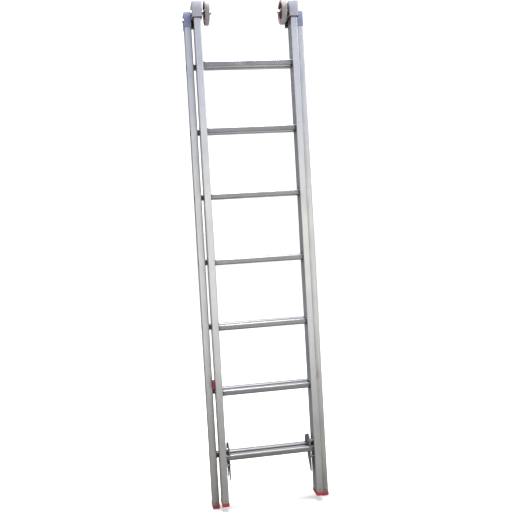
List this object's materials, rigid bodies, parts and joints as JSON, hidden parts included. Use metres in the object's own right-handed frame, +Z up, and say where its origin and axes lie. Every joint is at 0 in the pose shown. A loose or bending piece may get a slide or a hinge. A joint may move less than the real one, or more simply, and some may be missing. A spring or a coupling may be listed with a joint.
{
  "type": "extension ladder",
  "caption": "Two-section aluminium extension ladder: a narrow fly section slides up a wider base; hooks, hinged catches, wall wheels and red feet.",
  "frame": {"origin": "on the ground at the middle of the closed ladder's width and depth", "axes": "+X to the climber's right across the ladder, +Y from the climbing side to the back, +Z up along the stiles"},
  "size_m": [0.5294, 0.136, 2.175],
  "materials": {
    "stile_extrusion": "satin",
    "rung_extrusion": "satin",
    "red_nylon": "satin",
    "dark_red_nylon": "satin",
    "bracket_sheet": "satin",
    "black_rubber": "matte",
    "grey_rubber": "matte",
    "white_nylon": "satin",
    "hook_plate": "satin",
    "zinc_fastener": "satin"
  },
  "bodies": {
    "base": {"base_stile_left": "stile_extrusion", "base_stile_right": "stile_extrusion", "base_rung_1": "rung_extrusion", "base_rung_2": "rung_extrusion", "base_rung_3": "rung_extrusion", "base_rung_4": "rung_extrusion", "base_rung_5": "rung_extrusion", "base_rung_6": "rung_extrusion", "base_rung_7": "rung_extrusion", "base_foot_left": "red_nylon", "base_foot_right": "red_nylon", "base_cap_left": "bracket_sheet", "base_cap_right": "bracket_sheet", "base_sleeve_left": "bracket_sheet", "base_sleeve_right": "bracket_sheet", "stop_left": "black_rubber", "stop_right": "black_rubber", "base_foot_rivets": "zinc_fastener", "sleeve_bolts": "zinc_fastener", "sleeve_nuts": "zinc_fastener", "stop_screws": "zinc_fastener"},
    "fly": {"fly_stile_left": "stile_extrusion", "fly_stile_right": "stile_extrusion", "fly_rung_1": "rung_extrusion", "fly_rung_2": "rung_extrusion", "fly_rung_3": "rung_extrusion", "fly_rung_4": "rung_extrusion", "fly_rung_5": "rung_extrusion", "fly_rung_6": "rung_extrusion", "fly_rung_7": "rung_extrusion", "fly_foot_left": "red_nylon", "fly_foot_right": "red_nylon", "wheel_bracket_left": "bracket_sheet", "wheel_bracket_right": "bracket_sheet", "bracket_liner_left": "dark_red_nylon", "bracket_liner_right": "dark_red_nylon", "slide_block_left": "red_nylon", "slide_block_right": "red_nylon", "hook_left": "hook_plate", "hook_right": "hook_plate", "axle_left": "zinc_fastener", "axle_right": "zinc_fastener", "fly_foot_rivets": "zinc_fastener", "block_screws": "zinc_fastener", "hook_rivets": "zinc_fastener", "hook_spacers": "zinc_fastener", "catch_pins": "zinc_fastener", "axle_spacers": "zinc_fastener", "axle_washers": "zinc_fastener", "axle_nuts": "zinc_fastener"},
    "wheel_left": {"tyre_left": "grey_rubber", "hub_left": "dark_red_nylon", "hub_bush_left": "white_nylon"},
    "catch_left": {"catch_left": "hook_plate"},
    "wheel_right": {"tyre_right": "grey_rubber", "hub_right": "dark_red_nylon", "hub_bush_right": "white_nylon"},
    "catch_right": {"catch_right": "hook_plate"}
  },
  "joints": [
    {"name": "fly_slide", "type": "slide", "parent": "base", "child": "fly", "axis": [0, 0, 1], "range_m": [0, 1.12]},
    {"name": "wheel_spin_left", "type": "hinge", "parent": "fly", "child": "wheel_left", "pos_m": [-0.16475, -0.016, 2.123], "axis": [1, 0, 0], "continuous": true},
    {"name": "catch_swing_left", "type": "hinge", "parent": "fly", "child": "catch_left", "pos_m": [-0.1823, 0.0084, 0.196], "axis": [1, 0, 0], "range_deg": [-15, 60]},
    {"name": "wheel_spin_right", "type": "hinge", "parent": "fly", "child": "wheel_right", "pos_m": [0.16475, -0.016, 2.123], "axis": [1, 0, 0], "continuous": true},
    {"name": "catch_swing_right", "type": "hinge", "parent": "fly", "child": "catch_right", "pos_m": [0.1823, 0.0084, 0.196], "axis": [1, 0, 0], "range_deg": [-15, 60]}
  ]
}
